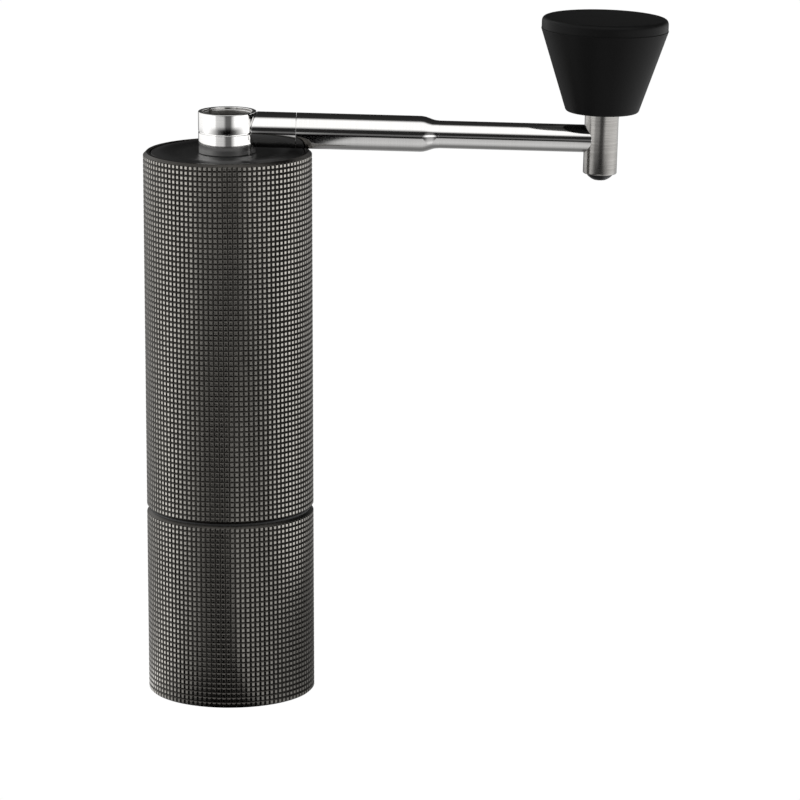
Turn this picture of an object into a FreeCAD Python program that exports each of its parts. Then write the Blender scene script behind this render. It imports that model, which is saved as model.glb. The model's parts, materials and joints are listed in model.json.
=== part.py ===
import FreeCAD, Part
import os
from math import atan2, cos, degrees, radians, sin, sqrt

# A hand crank coffee grinder, in millimetres.
# Z points up along the axis of the barrel. The origin is the centre of the cup's flat base.
# The crank arm points along +X.

Vector = FreeCAD.Vector

# ---------------------------------------------------------------- driving dimensions

# Outer body: the grounds cup below the seam and the barrel above it.
barrel_diameter = 52.0
cup_height = 58.0
seam_gap = 0.6
shell_height = 112.0
shell_wall = 2.0
end_chamfer = 1.0
base_chamfer = 0.5

# Clearances. seat_gap is between pieces fixed together in one body, running_gap is a bearing
# fit, free_gap is between bodies that pass each other, thread_gap stands for a thread's depth.
seat_gap = 0.03
running_gap = 0.05
free_gap = 0.3
thread_gap = 0.35

# Grounds cup.
cup_wall = 2.0
cup_floor = 2.5
cup_inner_fillet = 3.0

# Burr carrier: the thread collar, the burr seat, the funnel and the lower bearing hub.
carrier_wall = 1.85
collar_length = 8.5
burr_bottom_above_seam = 4.4
burr_height = 15.0
burr_wall_at_bottom = 2.2
burr_throat_radius = 12.6
funnel_edge = 2.0
funnel_rise = 8.0
lower_hub_rise = 8.0
spider_arm_count = 3
spider_arm_width = 4.0
bearing_hub_wall = 2.0
bearing_lip = 2.0
bearing_lip_radius = 6.5

# Hopper liner.
liner_wall = 2.95
liner_top_wall = 2.15
liner_top_below_rim = 3.0
upper_spider_below_rim = 24.6
upper_spider_ring_wall = 2.0

# Drive shaft and its two ball bearings.
shaft_diameter = 8.0
shaft_hex_across_flats = 6.9
shaft_top_below_rim = 1.1
upper_hex_length = 14.0
hex_below_burr = 3.0
hex_above_burr = 1.0
stud_diameter = 6.0
stud_length = 9.0
bearing_outer_diameter = 16.0
bearing_width = 5.0
bearing_inner_race_wall = 1.15
bearing_outer_race_wall = 1.25
bearing_ball_diameter = 2.38
bearing_ball_count = 9
bearing_cage_width = 3.0
bearing_cage_wall = 1.1
circlip_thickness = 1.0
circlip_groove_depth = 0.4
circlip_rim = 1.6
circlip_opening = 50.0
washer_thickness = 0.6
washer_radius = 5.8
spring_wire = 0.9

# Inner burr, detent plate and adjusting dial.
burr_gap = 0.65
inner_burr_top_radius = 8.0
inner_burr_nose = 1.5
inner_burr_skirt = 1.5
flute_count = 12
flute_depth = 1.2
burr_screw_count = 3
burr_screw_diameter = 3.0
burr_screw_head_diameter = 5.2
burr_screw_head_height = 1.8
burr_screw_length = 7.0
burr_screw_circle_radius = 17.3
plate_radius = 10.5
plate_thickness = 1.5
dial_radius = 12.0
dial_height = 7.0
dial_thread_length = 4.0
dial_scallop_count = 12
dial_scallop_radius = 2.2
detent_ball_diameter = 3.0
detent_circle_radius = 8.0
detent_count = 2
detent_hole_depth = 5.0

# Lid.
lid_edge_thickness = 2.7
lid_crown_radius = 20.0
lid_crown_height = 0.5
lid_dish_radius = 16.0
lid_dish_below_rim = 0.45
lid_plate_thickness = 3.75
lid_skirt_gap = 0.5
lid_skirt_wall = 2.1
lid_skirt_depth = 5.0
lid_boss_wall = 2.0
lid_boss_depth = 4.2
seal_cord_diameter = 1.6

# Crank hub and arm. The arm falls away from the hub by arm_slope degrees, and the post and the
# knob stand square to the arm.
hub_diameter = 17.9
hub_height = 12.8
hub_recess_wall = 1.2
hub_recess_depth = 1.0
hub_groove_width = 0.5
hub_groove_depth = 0.3
hub_groove_below_top = 6.0
neck_diameter = 11.0
neck_length = 9.4
arm_slope = 1.6
arm_below_hub_top = 5.5
arm_diameter = 11.05
collar_end = 21.05
sleeve_end = 64.4
sleeve_taper = 4.0
sleeve_end_step = 0.3
rod_diameter = 8.5
rod_start = 4.0
crank_reach = 114.75

# Knob post, bolt and knob, measured along the knob's own axis from the arm's axis.
post_diameter = 10.4
post_below_arm = 10.7
post_chamfer = 0.4
post_socket_depth = 2.2
bolt_diameter = 5.0
bolt_head_diameter = 8.5
bolt_head_height = 2.3
nut_across_flats = 8.0
nut_height = 4.0
knob_bottom = 8.5
knob_bottom_diameter = 22.3
knob_top_diameter = 39.1
knob_cone_height = 25.5
knob_wall = 2.0
knob_floor = 5.2
knob_boss_height = 18.0
knob_boss_wall = 2.4
knob_rib_count = 6
knob_rib_width = 1.6
knob_counterbore_depth = 2.6
bush_wall = 2.0
cap_height = 3.5
cap_edge_round = 1.6
cap_parting_step = 0.15
cap_plate_thickness = 2.2
cap_plug_depth = 2.4
cap_plug_wall = 1.6

# ---------------------------------------------------------------- derived levels and radii

outer_radius = barrel_diameter / 2
shell_bottom = cup_height + seam_gap
rim_level = shell_bottom + shell_height
shell_bore_radius = outer_radius - shell_wall
cup_bore_radius = outer_radius - cup_wall

carrier_radius = shell_bore_radius - seat_gap
collar_radius = cup_bore_radius - thread_gap
carrier_bore_radius = min(carrier_radius, collar_radius) - carrier_wall
collar_bottom = cup_height - collar_length
burr_radius = carrier_bore_radius - seat_gap
burr_bottom = shell_bottom + burr_bottom_above_seam
burr_top = burr_bottom + burr_height
funnel_top = burr_top + funnel_rise

liner_radius = shell_bore_radius - seat_gap
liner_bore_radius = liner_radius - liner_wall
liner_top_bore_radius = liner_radius - liner_top_wall
liner_top = rim_level - liner_top_below_rim
upper_spider_bottom = rim_level - upper_spider_below_rim

shaft_radius = shaft_diameter / 2
stud_radius = stud_diameter / 2
bearing_radius = bearing_outer_diameter / 2
bearing_bore_radius = shaft_radius + seat_gap
hub_bore_radius = bearing_radius + seat_gap
bearing_hub_radius = hub_bore_radius + bearing_hub_wall
lower_hub_bottom = burr_top + lower_hub_rise
lower_bearing_bottom = lower_hub_bottom + bearing_lip
carrier_top = lower_bearing_bottom + bearing_width
upper_bearing_bottom = upper_spider_bottom + bearing_lip
inner_race_radius = bearing_bore_radius + bearing_inner_race_wall
outer_race_bore_radius = bearing_radius - bearing_outer_race_wall
ball_circle_radius = (inner_race_radius + outer_race_bore_radius) / 2
ball_radius = bearing_ball_diameter / 2
groove_radius = ball_radius + running_gap

inner_burr_bottom = burr_bottom - inner_burr_skirt
inner_burr_top = burr_top + inner_burr_nose
inner_burr_radius = burr_radius - burr_wall_at_bottom - burr_gap
plate_bottom = inner_burr_bottom - plate_thickness
dial_top = plate_bottom - running_gap
dial_bottom = dial_top - dial_height
dial_thread_top = dial_bottom + dial_thread_length
lower_hex_bottom = inner_burr_bottom - hex_below_burr
shaft_top = rim_level - shaft_top_below_rim
hex_bore_across_flats = shaft_hex_across_flats + 2 * running_gap

lower_circlip_bottom = lower_bearing_bottom - circlip_thickness
upper_circlip_bottom = upper_bearing_bottom + bearing_width
washer_bottom = lower_circlip_bottom - washer_thickness

lid_radius = shell_bore_radius - free_gap
lid_bottom = liner_top
lid_edge_level = lid_bottom + lid_edge_thickness
lid_crown_level = rim_level + lid_crown_height
lid_dish_level = rim_level - lid_dish_below_rim
lid_plate_bottom = lid_dish_level - lid_plate_thickness
lid_skirt_radius = liner_top_bore_radius - lid_skirt_gap
lid_skirt_bottom = lid_bottom - lid_skirt_depth
lid_boss_bottom = lid_bottom - lid_boss_depth
seal_level = (lid_bottom + lid_skirt_bottom) / 2
seal_circle_radius = liner_top_bore_radius - running_gap - seal_cord_diameter / 2
neck_radius = neck_diameter / 2
lid_bore_radius = neck_radius + running_gap

hub_radius = hub_diameter / 2
hub_bottom = lid_dish_level + running_gap
hub_top = hub_bottom + hub_height
arm_level = hub_top - arm_below_hub_top
neck_bottom = hub_bottom - neck_length
hub_washer_top = lid_boss_bottom - running_gap
hub_circlip_top = hub_washer_top - washer_thickness
hub_socket_top = shaft_top + 2 * free_gap

arm_radius = arm_diameter / 2
rod_radius = rod_diameter / 2
post_radius = post_diameter / 2
bolt_radius = bolt_diameter / 2
post_top = knob_bottom + knob_counterbore_depth - free_gap
knob_cone_top = knob_bottom + knob_cone_height
knob_boss_top = knob_bottom + knob_boss_height
bush_bottom = knob_bottom + knob_counterbore_depth
bush_bore_radius = bolt_radius + running_gap
bush_radius = bush_bore_radius + bush_wall
knob_washer_bottom = knob_boss_top + running_gap
nut_bottom = knob_washer_bottom + washer_thickness
bolt_end = nut_bottom + nut_height + 0.5


# ---------------------------------------------------------------- shape helpers


def cylinder(radius, bottom, top):
    """Upright cylinder on the Z axis between two levels."""
    return Part.makeCylinder(radius, top - bottom, Vector(0, 0, bottom))


def tube(outer, inner, bottom, top):
    """Upright tube on the Z axis between two levels."""
    return cylinder(outer, bottom, top).cut(cylinder(inner, bottom, top))


def bar_along_x(radius, start, end):
    """Round bar on the X axis."""
    return Part.makeCylinder(radius, end - start, Vector(start, 0, 0), Vector(1, 0, 0))


def cone_along_x(start_radius, end_radius, start, end):
    """Tapered round bar on the X axis."""
    return Part.makeCone(start_radius, end_radius, end - start, Vector(start, 0, 0), Vector(1, 0, 0))


def block(width, depth, bottom, top, start_x=0.0):
    """Block from start_x along +X, centred on the X axis."""
    return Part.makeBox(width, depth, top - bottom, Vector(start_x, -depth / 2, bottom))


def hexagon(across_flats, bottom, top):
    """Upright hexagonal prism on the Z axis, with corners on the X axis."""
    corner_radius = across_flats / 2 / cos(radians(30))
    corners = []
    for index in range(7):
        angle = radians(60 * index)
        corners.append(Vector(corner_radius * cos(angle), corner_radius * sin(angle), bottom))
    face = Part.Face(Part.makePolygon(corners))
    return face.extrude(Vector(0, 0, top - bottom))


def turned(outline):
    """Solid of revolution about Z. A point is (radius, level). An arc to a point is written
    as (radius, level, middle radius, middle level)."""
    points = [Vector(entry[0], 0, entry[1]) for entry in outline]
    edges = []
    for index, entry in enumerate(outline):
        start = points[index - 1]
        end = points[index]
        if len(entry) == 4:
            middle = Vector(entry[2], 0, entry[3])
            edges.append(Part.Arc(start, middle, end).toShape())
        else:
            edges.append(Part.makeLine(start, end))
    face = Part.Face(Part.Wire(edges))
    return face.revolve(Vector(0, 0, 0), Vector(0, 0, 1), 360)


def turned_ring(radius, level, cord_radius):
    """Ring of round section on the Z axis."""
    return Part.makeTorus(radius, cord_radius, Vector(0, 0, level))


def spaced_round(shape, count, first_angle=0.0):
    """Copies of a shape, evenly spaced about the Z axis."""
    copies = []
    for index in range(count):
        copy = shape.copy()
        copy.rotate(Vector(0, 0, 0), Vector(0, 0, 1), first_angle + 360 * index / count)
        copies.append(copy)
    return copies


def cut_each(shape, cutters):
    """Shape with every cutter taken away."""
    return shape.cut(cutters)


def on_arm(shape):
    """Shape moved from the arm's own frame, whose origin is where the arm meets the hub axis."""
    moved = shape.copy()
    moved.Placement = FreeCAD.Placement(
        Vector(0, 0, arm_level), FreeCAD.Rotation(Vector(0, 1, 0), arm_slope)
    ).multiply(moved.Placement)
    return moved


def on_knob_axis(shape):
    """Shape moved from the knob's own frame, whose origin is on the arm's axis at the post."""
    moved = shape.copy()
    moved.translate(Vector(crank_reach, 0, 0))
    return on_arm(moved)


def save(node, shape):
    """One STEP file per piece, with the piece's name."""
    shape.exportStep("parts/" + node + ".step")


# ---------------------------------------------------------------- barrel


def make_barrel_shell():
    """Metal sleeve that is held in the hand."""
    chamfered_radius = outer_radius - end_chamfer
    return turned(
        [
            (shell_bore_radius, shell_bottom),
            (chamfered_radius, shell_bottom),
            (outer_radius, shell_bottom + end_chamfer),
            (outer_radius, rim_level - end_chamfer),
            (chamfered_radius, rim_level),
            (shell_bore_radius, rim_level),
        ]
    )


def make_hopper_liner():
    """Moulded bean hopper inside the shell. Its step carries the upper spider."""
    return turned(
        [
            (liner_bore_radius, carrier_top),
            (liner_radius, carrier_top),
            (liner_radius, liner_top),
            (liner_top_bore_radius, liner_top),
            (liner_top_bore_radius, upper_spider_bottom),
            (liner_bore_radius, upper_spider_bottom),
        ]
    )


def spider_arms(reach, bottom, top):
    """Three webs from a bearing hub out to a ring, with the first one along +Y."""
    start = hub_bore_radius + bearing_hub_wall / 2
    arm = block(reach - start, spider_arm_width, bottom, top, start)
    return spaced_round(arm, spider_arm_count, 90)


def bearing_hub(bottom):
    """Cup that holds a ball bearing, with a lip below the outer race."""
    height = bearing_lip + bearing_width
    body = cylinder(bearing_hub_radius, bottom, bottom + height)
    body = body.cut(cylinder(bearing_lip_radius, bottom, bottom + height))
    return body.cut(cylinder(hub_bore_radius, bottom + bearing_lip, bottom + height))


def make_upper_spider():
    """Upper bearing support, dropped into the liner on its step."""
    ring_radius = liner_top_bore_radius - seat_gap
    ring_bore = ring_radius - upper_spider_ring_wall
    top = upper_spider_bottom + bearing_lip + bearing_width
    ring = tube(ring_radius, ring_bore, upper_spider_bottom, top)
    arms = spider_arms(ring_bore + upper_spider_ring_wall / 2, upper_spider_bottom, top)
    body = ring.multiFuse(arms + [bearing_hub(upper_spider_bottom)])
    body = body.cut(cylinder(hub_bore_radius, upper_spider_bottom + bearing_lip, top))
    return body.removeSplitter()


def make_burr_carrier():
    """Moulded frame: cup thread collar, seat of the outer burr, funnel and lower bearing hub."""
    body = turned(
        [
            (carrier_bore_radius, collar_bottom),
            (collar_radius, collar_bottom),
            (collar_radius, shell_bottom),
            (carrier_radius, shell_bottom),
            (carrier_radius, carrier_top),
            (liner_bore_radius, carrier_top),
            (liner_bore_radius, funnel_top),
            (burr_throat_radius, burr_top + funnel_edge),
            (burr_throat_radius, burr_top),
            (carrier_bore_radius, burr_top),
        ]
    )
    arm_reach = (carrier_radius + liner_bore_radius) / 2
    arms = spider_arms(arm_reach, lower_hub_bottom, carrier_top)
    body = body.multiFuse(arms + [bearing_hub(lower_hub_bottom)])
    body = body.cut(cylinder(hub_bore_radius, lower_bearing_bottom, carrier_top))
    body = body.removeSplitter()
    head_pocket = cylinder(
        burr_screw_head_diameter / 2 + free_gap, burr_top + funnel_edge, funnel_top
    )
    shank_hole = cylinder(burr_screw_diameter / 2 + seat_gap, burr_top, burr_top + funnel_edge)
    cutter = head_pocket.fuse(shank_hole)
    cutter.translate(Vector(burr_screw_circle_radius, 0, 0))
    return cut_each(body, spaced_round(cutter, burr_screw_count))


def burr_flute(bottom_radius, top_radius, bottom, top):
    """Square bar, on edge, that cuts one straight flute along a cone's side."""
    rise = top - bottom
    side = flute_depth * sqrt(2)
    bar = Part.makeBox(side, side, 3 * rise)
    bar.translate(Vector(-side / 2, -side / 2, -rise))
    bar.rotate(Vector(0, 0, 0), Vector(0, 0, 1), 45)
    lean = degrees(atan2(bottom_radius - top_radius, rise))
    bar.rotate(Vector(0, 0, 0), Vector(0, 1, 0), -lean)
    bar.translate(Vector(bottom_radius, 0, bottom))
    return bar


def make_outer_burr():
    """Steel ring burr with a conical fluted mouth, screwed up against the carrier."""
    mouth_radius = burr_radius - burr_wall_at_bottom
    body = turned(
        [
            (mouth_radius, burr_bottom),
            (burr_radius, burr_bottom),
            (burr_radius, burr_top),
            (burr_throat_radius, burr_top),
        ]
    )
    flute = burr_flute(mouth_radius, burr_throat_radius, burr_bottom, burr_top)
    body = cut_each(body, spaced_round(flute, flute_count, 180 / flute_count))
    thread_depth = burr_screw_length - funnel_edge
    hole = cylinder(burr_screw_diameter / 2 + seat_gap, burr_top - thread_depth, burr_top)
    hole.translate(Vector(burr_screw_circle_radius, 0, 0))
    return cut_each(body, spaced_round(hole, burr_screw_count))


def make_burr_screws():
    """Pan head screws that hold the outer burr, as one group."""
    head_bottom = burr_top + funnel_edge
    head = cylinder(burr_screw_head_diameter / 2, head_bottom, head_bottom + burr_screw_head_height)
    shank = cylinder(burr_screw_diameter / 2, head_bottom - burr_screw_length, head_bottom)
    slot = Part.makeBox(
        burr_screw_head_diameter,
        burr_screw_diameter / 4,
        burr_screw_head_height,
        Vector(-burr_screw_head_diameter / 2, -burr_screw_diameter / 8, head_bottom + 1),
    )
    screw = head.fuse(shank).cut(slot)
    screw.translate(Vector(burr_screw_circle_radius, 0, 0))
    return Part.makeCompound(spaced_round(screw, burr_screw_count))


# ---------------------------------------------------------------- ball bearings


def ball_groove(bottom):
    """Ring groove in which the balls of a bearing run."""
    return turned_ring(ball_circle_radius, bottom + bearing_width / 2, groove_radius)


def make_bearing_outer(bottom):
    """Outer race of a ball bearing."""
    race = tube(bearing_radius, outer_race_bore_radius, bottom, bottom + bearing_width)
    return race.cut(ball_groove(bottom))


def make_bearing_inner(bottom):
    """Inner race of a ball bearing."""
    race = tube(inner_race_radius, bearing_bore_radius, bottom, bottom + bearing_width)
    return race.cut(ball_groove(bottom))


def make_bearing_balls(bottom):
    """All the balls of one bearing, as one group."""
    ball = Part.makeSphere(ball_radius, Vector(ball_circle_radius, 0, bottom + bearing_width / 2))
    return Part.makeCompound(spaced_round(ball, bearing_ball_count))


def make_bearing_cage(bottom):
    """Ring with a round hole for each ball."""
    middle = bottom + bearing_width / 2
    cage = tube(
        ball_circle_radius + bearing_cage_wall / 2,
        ball_circle_radius - bearing_cage_wall / 2,
        middle - bearing_cage_width / 2,
        middle + bearing_cage_width / 2,
    )
    pocket = bar_along_x(groove_radius, 0, bearing_radius)
    pocket.translate(Vector(0, 0, middle))
    return cut_each(cage, spaced_round(pocket, bearing_ball_count))


# ---------------------------------------------------------------- drive shaft


def circlip(shaft, bottom):
    """Open retaining ring in a groove of a shaft of the given radius."""
    ring = tube(
        shaft + circlip_rim,
        shaft - circlip_groove_depth + running_gap,
        bottom,
        bottom + circlip_thickness,
    )
    mouth_width = 2 * (shaft + circlip_rim) * sin(radians(circlip_opening / 2))
    mouth = block(3 * shaft, mouth_width, bottom, bottom + circlip_thickness, shaft / 2)
    return ring.cut(mouth)


def circlip_groove(shaft, bottom):
    """Cutter for the groove that a circlip sits in."""
    return tube(2 * shaft, shaft - circlip_groove_depth, bottom, bottom + circlip_thickness)


def make_drive_shaft():
    """Round shaft with a hexagon at each end and a threaded stud for the dial."""
    round_bottom = inner_burr_top + hex_above_burr
    round_top = shaft_top - upper_hex_length
    body = cylinder(shaft_radius, round_bottom, round_top)
    upper_hex = hexagon(shaft_hex_across_flats, round_top, shaft_top)
    lower_hex = hexagon(shaft_hex_across_flats, lower_hex_bottom, round_bottom)
    stud = cylinder(stud_radius, lower_hex_bottom - stud_length, lower_hex_bottom)
    body = body.multiFuse([upper_hex, lower_hex, stud])
    body = body.cut(circlip_groove(shaft_radius, lower_circlip_bottom))
    return body.cut(circlip_groove(shaft_radius, upper_circlip_bottom))


def make_shaft_circlips():
    """The two retaining rings outside the bearings, as one group."""
    rings = [circlip(shaft_radius, lower_circlip_bottom), circlip(shaft_radius, upper_circlip_bottom)]
    return Part.makeCompound(rings)


def make_spring_washer():
    """Flat ring between the burr spring and the lower circlip."""
    return tube(washer_radius, bearing_bore_radius, washer_bottom, washer_bottom + washer_thickness)


def make_burr_spring():
    """Compression spring that pushes the inner burr down on the dial, as its outer sleeve."""
    bore_radius = shaft_radius + free_gap
    bottom = inner_burr_top + running_gap
    return tube(bore_radius + spring_wire, bore_radius, bottom, washer_bottom - running_gap)


# ---------------------------------------------------------------- inner burr and dial


def make_inner_burr():
    """Fluted steel cone that slides on the shaft's hexagon."""
    body = turned(
        [
            (0, inner_burr_bottom),
            (inner_burr_radius, inner_burr_bottom),
            (inner_burr_radius, burr_bottom),
            (inner_burr_top_radius, inner_burr_top),
            (0, inner_burr_top),
        ]
    )
    flute = burr_flute(inner_burr_radius, inner_burr_top_radius, burr_bottom, inner_burr_top)
    body = cut_each(body, spaced_round(flute, flute_count))
    return body.cut(hexagon(hex_bore_across_flats, inner_burr_bottom, inner_burr_top))


def make_detent_plate():
    """Steel disc under the inner burr, on which the detent balls click."""
    plate = cylinder(plate_radius, plate_bottom, inner_burr_bottom)
    return plate.cut(hexagon(hex_bore_across_flats, plate_bottom, inner_burr_bottom))


def make_adjusting_dial():
    """Scalloped nut on the stud that sets how high the inner burr stands."""
    body = cylinder(dial_radius, dial_bottom, dial_top)
    scallop = cylinder(dial_scallop_radius, dial_bottom, dial_top)
    scallop.translate(Vector(dial_radius + dial_scallop_radius / 2, 0, 0))
    body = cut_each(body, spaced_round(scallop, dial_scallop_count))
    body = body.cut(cylinder(stud_radius + running_gap, dial_bottom, dial_thread_top))
    body = body.cut(cylinder(shaft_radius + free_gap, dial_thread_top, dial_top))
    hole_radius = detent_ball_diameter / 2 + running_gap
    hole = cylinder(hole_radius, dial_top - detent_hole_depth, dial_top)
    hole.translate(Vector(0, detent_circle_radius, 0))
    return cut_each(body, spaced_round(hole, detent_count))


def make_detent_balls():
    """Steel balls in the dial, just under the detent plate, as one group."""
    radius = detent_ball_diameter / 2
    ball = Part.makeSphere(radius, Vector(0, detent_circle_radius, dial_top - radius))
    return Part.makeCompound(spaced_round(ball, detent_count))


def make_detent_springs():
    """Short springs under the detent balls, each as its outer sleeve, as one group."""
    radius = detent_ball_diameter / 2
    bottom = dial_top - detent_hole_depth
    sleeve = tube(radius, radius - spring_wire / 2, bottom, dial_top - 2 * radius)
    sleeve.translate(Vector(0, detent_circle_radius, 0))
    return Part.makeCompound(spaced_round(sleeve, detent_count))


# ---------------------------------------------------------------- lid


def seal_groove():
    """Square groove round the lid's skirt for the seal."""
    half_width = seal_cord_diameter / 2 + running_gap
    depth_radius = seal_circle_radius - half_width
    return tube(liner_radius, depth_radius, seal_level - half_width, seal_level + half_width)


def make_lid():
    """Crowned and dished lid that drops inside the rim, with a skirt and a bearing boss."""
    skirt_bore = lid_skirt_radius - lid_skirt_wall
    boss_radius = lid_bore_radius + lid_boss_wall
    shoulder_radius = (lid_radius + lid_crown_radius) / 2
    shoulder_level = lid_crown_level - (lid_crown_level - lid_edge_level) * 0.3
    crown_bend_radius = (lid_crown_radius + lid_dish_radius) / 2
    crown_bend_level = (lid_crown_level + lid_dish_level) / 2 + 0.15
    body = turned(
        [
            (lid_bore_radius, lid_boss_bottom),
            (boss_radius, lid_boss_bottom),
            (boss_radius, lid_plate_bottom),
            (skirt_bore, lid_plate_bottom),
            (skirt_bore, lid_skirt_bottom),
            (lid_skirt_radius, lid_skirt_bottom),
            (lid_skirt_radius, lid_bottom),
            (lid_radius, lid_bottom),
            (lid_radius, lid_edge_level),
            (lid_crown_radius, lid_crown_level, shoulder_radius, shoulder_level),
            (lid_dish_radius, lid_dish_level, crown_bend_radius, crown_bend_level),
            (lid_bore_radius, lid_dish_level),
        ]
    )
    return body.cut(seal_groove())


def make_lid_seal():
    """Rubber ring that grips the liner's bore."""
    return turned_ring(seal_circle_radius, seal_level, seal_cord_diameter / 2)


# ---------------------------------------------------------------- crank


def make_crank_hub():
    """Polished hub with a neck through the lid and a hexagonal socket for the shaft."""
    recess_radius = hub_radius - hub_recess_wall
    groove_top = hub_top - hub_groove_below_top
    groove = tube(2 * hub_radius, hub_radius - hub_groove_depth, groove_top - hub_groove_width, groove_top)
    body = cylinder(hub_radius, hub_bottom, hub_top)
    body = body.fuse(cylinder(neck_radius, neck_bottom, hub_bottom))
    body = body.cut(cylinder(recess_radius, hub_top - hub_recess_depth, hub_top))
    body = body.cut(groove)
    body = body.cut(hexagon(hex_bore_across_flats, neck_bottom, hub_socket_top))
    body = body.cut(circlip_groove(neck_radius, hub_circlip_top - circlip_thickness))
    rod_hole = on_arm(bar_along_x(rod_radius + seat_gap, rod_start, 2 * hub_radius))
    return body.cut(rod_hole)


def make_hub_washer():
    """Flat ring between the lid's boss and the hub's circlip."""
    return tube(
        neck_radius + circlip_rim,
        neck_radius + seat_gap,
        hub_washer_top - washer_thickness,
        hub_washer_top,
    )


def make_hub_circlip():
    """Retaining ring on the neck that keeps the crank in the lid."""
    return circlip(neck_radius, hub_circlip_top - circlip_thickness)


def make_arm_collar():
    """Short thick tube between the hub and the sleeve."""
    collar = bar_along_x(arm_radius, 0, collar_end)
    collar = collar.cut(bar_along_x(rod_radius + seat_gap, 0, collar_end))
    clearance = cylinder(hub_radius + seat_gap, hub_bottom - arm_diameter, hub_top + arm_diameter)
    return on_arm(collar).cut(clearance)


def make_arm_sleeve():
    """Long thick tube of the arm, tapered at its outer end."""
    taper_start = sleeve_end - sleeve_taper
    start = collar_end + seat_gap
    body = bar_along_x(arm_radius, start, taper_start)
    body = body.fuse(
        cone_along_x(arm_radius, rod_radius + sleeve_end_step, taper_start, sleeve_end)
    )
    return on_arm(body.cut(bar_along_x(rod_radius + seat_gap, start, sleeve_end)))


def make_arm_rod():
    """Steel rod through the whole arm, from inside the hub to inside the post."""
    end = crank_reach - post_radius + post_socket_depth
    return on_arm(bar_along_x(rod_radius, rod_start, end))


def make_knob_post():
    """Brushed steel post at the end of the arm, bored for the knob's bolt."""
    post = cylinder(post_radius, -post_below_arm, post_top)
    foot = turned(
        [
            (post_radius, -post_below_arm - post_chamfer),
            (post_radius + post_chamfer, -post_below_arm - post_chamfer),
            (post_radius + post_chamfer, -post_below_arm + post_chamfer),
            (post_radius, -post_below_arm + post_chamfer),
            (post_radius - post_chamfer, -post_below_arm),
        ]
    )
    post = post.cut(foot)
    post = post.cut(cylinder(bolt_radius + seat_gap, -post_below_arm, post_top))
    socket_end = -post_radius + post_socket_depth + seat_gap
    return on_knob_axis(post.cut(bar_along_x(rod_radius + seat_gap, -crank_reach, socket_end)))


def make_knob_bolt():
    """Dome head bolt from below, through the post and the knob."""
    head_top = -post_below_arm
    head_radius = bolt_head_diameter / 2
    sphere_radius = (head_radius ** 2 + bolt_head_height ** 2) / (2 * bolt_head_height)
    sphere = Part.makeSphere(sphere_radius, Vector(0, 0, head_top - bolt_head_height + sphere_radius))
    head = sphere.common(cylinder(head_radius, head_top - bolt_head_height - 1, head_top))
    return on_knob_axis(head.fuse(cylinder(bolt_radius, head_top, bolt_end)))


def make_knob_washer():
    """Flat ring between the knob's bush and the nut."""
    return on_knob_axis(
        tube(washer_radius, bolt_radius + seat_gap, knob_washer_bottom, nut_bottom)
    )


def make_knob_nut():
    """Lock nut inside the knob, under the cap."""
    nut = hexagon(nut_across_flats, nut_bottom, nut_bottom + nut_height)
    return on_knob_axis(nut.cut(cylinder(bolt_radius + seat_gap, nut_bottom, bolt_end)))


# ---------------------------------------------------------------- knob


def knob_radius_at(level):
    """Outer radius of the knob's cone at a level along the knob's axis."""
    share = (level - knob_bottom) / knob_cone_height
    return knob_bottom_diameter / 2 + share * (knob_top_diameter - knob_bottom_diameter) / 2


def make_knob_body():
    """Hollow cone that is held in the hand, with a ribbed boss for the bush."""
    floor_level = knob_bottom + knob_floor
    boss_radius = bush_radius + seat_gap + knob_boss_wall
    shell = turned(
        [
            (0, knob_bottom),
            (knob_radius_at(knob_bottom), knob_bottom),
            (knob_radius_at(knob_cone_top), knob_cone_top),
            (knob_radius_at(knob_cone_top) - knob_wall, knob_cone_top),
            (knob_radius_at(floor_level) - knob_wall, floor_level),
            (0, floor_level),
        ]
    )
    boss = cylinder(boss_radius, floor_level - knob_wall, knob_boss_top)
    rib_top = knob_boss_top - knob_wall
    rib_outline = [
        Vector(0, 0, floor_level - knob_wall),
        Vector(knob_radius_at(floor_level) - knob_wall / 2, 0, floor_level - knob_wall),
        Vector(knob_radius_at(rib_top) - knob_wall / 2, 0, rib_top),
        Vector(0, 0, rib_top),
        Vector(0, 0, floor_level - knob_wall),
    ]
    rib = Part.Face(Part.makePolygon(rib_outline)).extrude(Vector(0, knob_rib_width, 0))
    rib.translate(Vector(0, -knob_rib_width / 2, 0))
    body = shell.multiFuse([boss] + spaced_round(rib, knob_rib_count)).removeSplitter()
    body = body.cut(cylinder(bush_radius + seat_gap, knob_bottom, knob_boss_top))
    counterbore = cylinder(post_radius + free_gap, knob_bottom, bush_bottom)
    return on_knob_axis(body.cut(counterbore))


def make_knob_bush():
    """Bearing sleeve pressed into the knob, turning on the bolt."""
    return on_knob_axis(tube(bush_radius, bush_bore_radius, bush_bottom, knob_boss_top))


def make_knob_cap():
    """Cap with a rounded edge that closes the top of the knob."""
    bottom = knob_cone_top
    top = bottom + cap_height
    radius = knob_top_diameter / 2 - cap_parting_step
    plug_bottom = bottom - cap_plug_depth
    plug_radius = knob_radius_at(plug_bottom) - knob_wall - seat_gap
    plug_bore = plug_radius - cap_plug_wall
    plate_bottom_level = top - cap_plate_thickness
    round_middle = cap_edge_round * (1 - sin(radians(45)))
    cap = turned(
        [
            (0, plate_bottom_level),
            (plug_bore, plate_bottom_level),
            (plug_bore, plug_bottom),
            (plug_radius, plug_bottom),
            (plug_radius, bottom),
            (radius, bottom),
            (radius, top - cap_edge_round),
            (radius - cap_edge_round, top, radius - round_middle, top - round_middle),
            (0, top),
        ]
    )
    return on_knob_axis(cap)


# ---------------------------------------------------------------- grounds cup


def make_cup_seal():
    """Thin black ring that lies in the seam on the cup's rim."""
    outer = outer_radius - end_chamfer
    return tube(outer, cup_bore_radius, cup_height, cup_height + seam_gap - running_gap)


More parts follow.
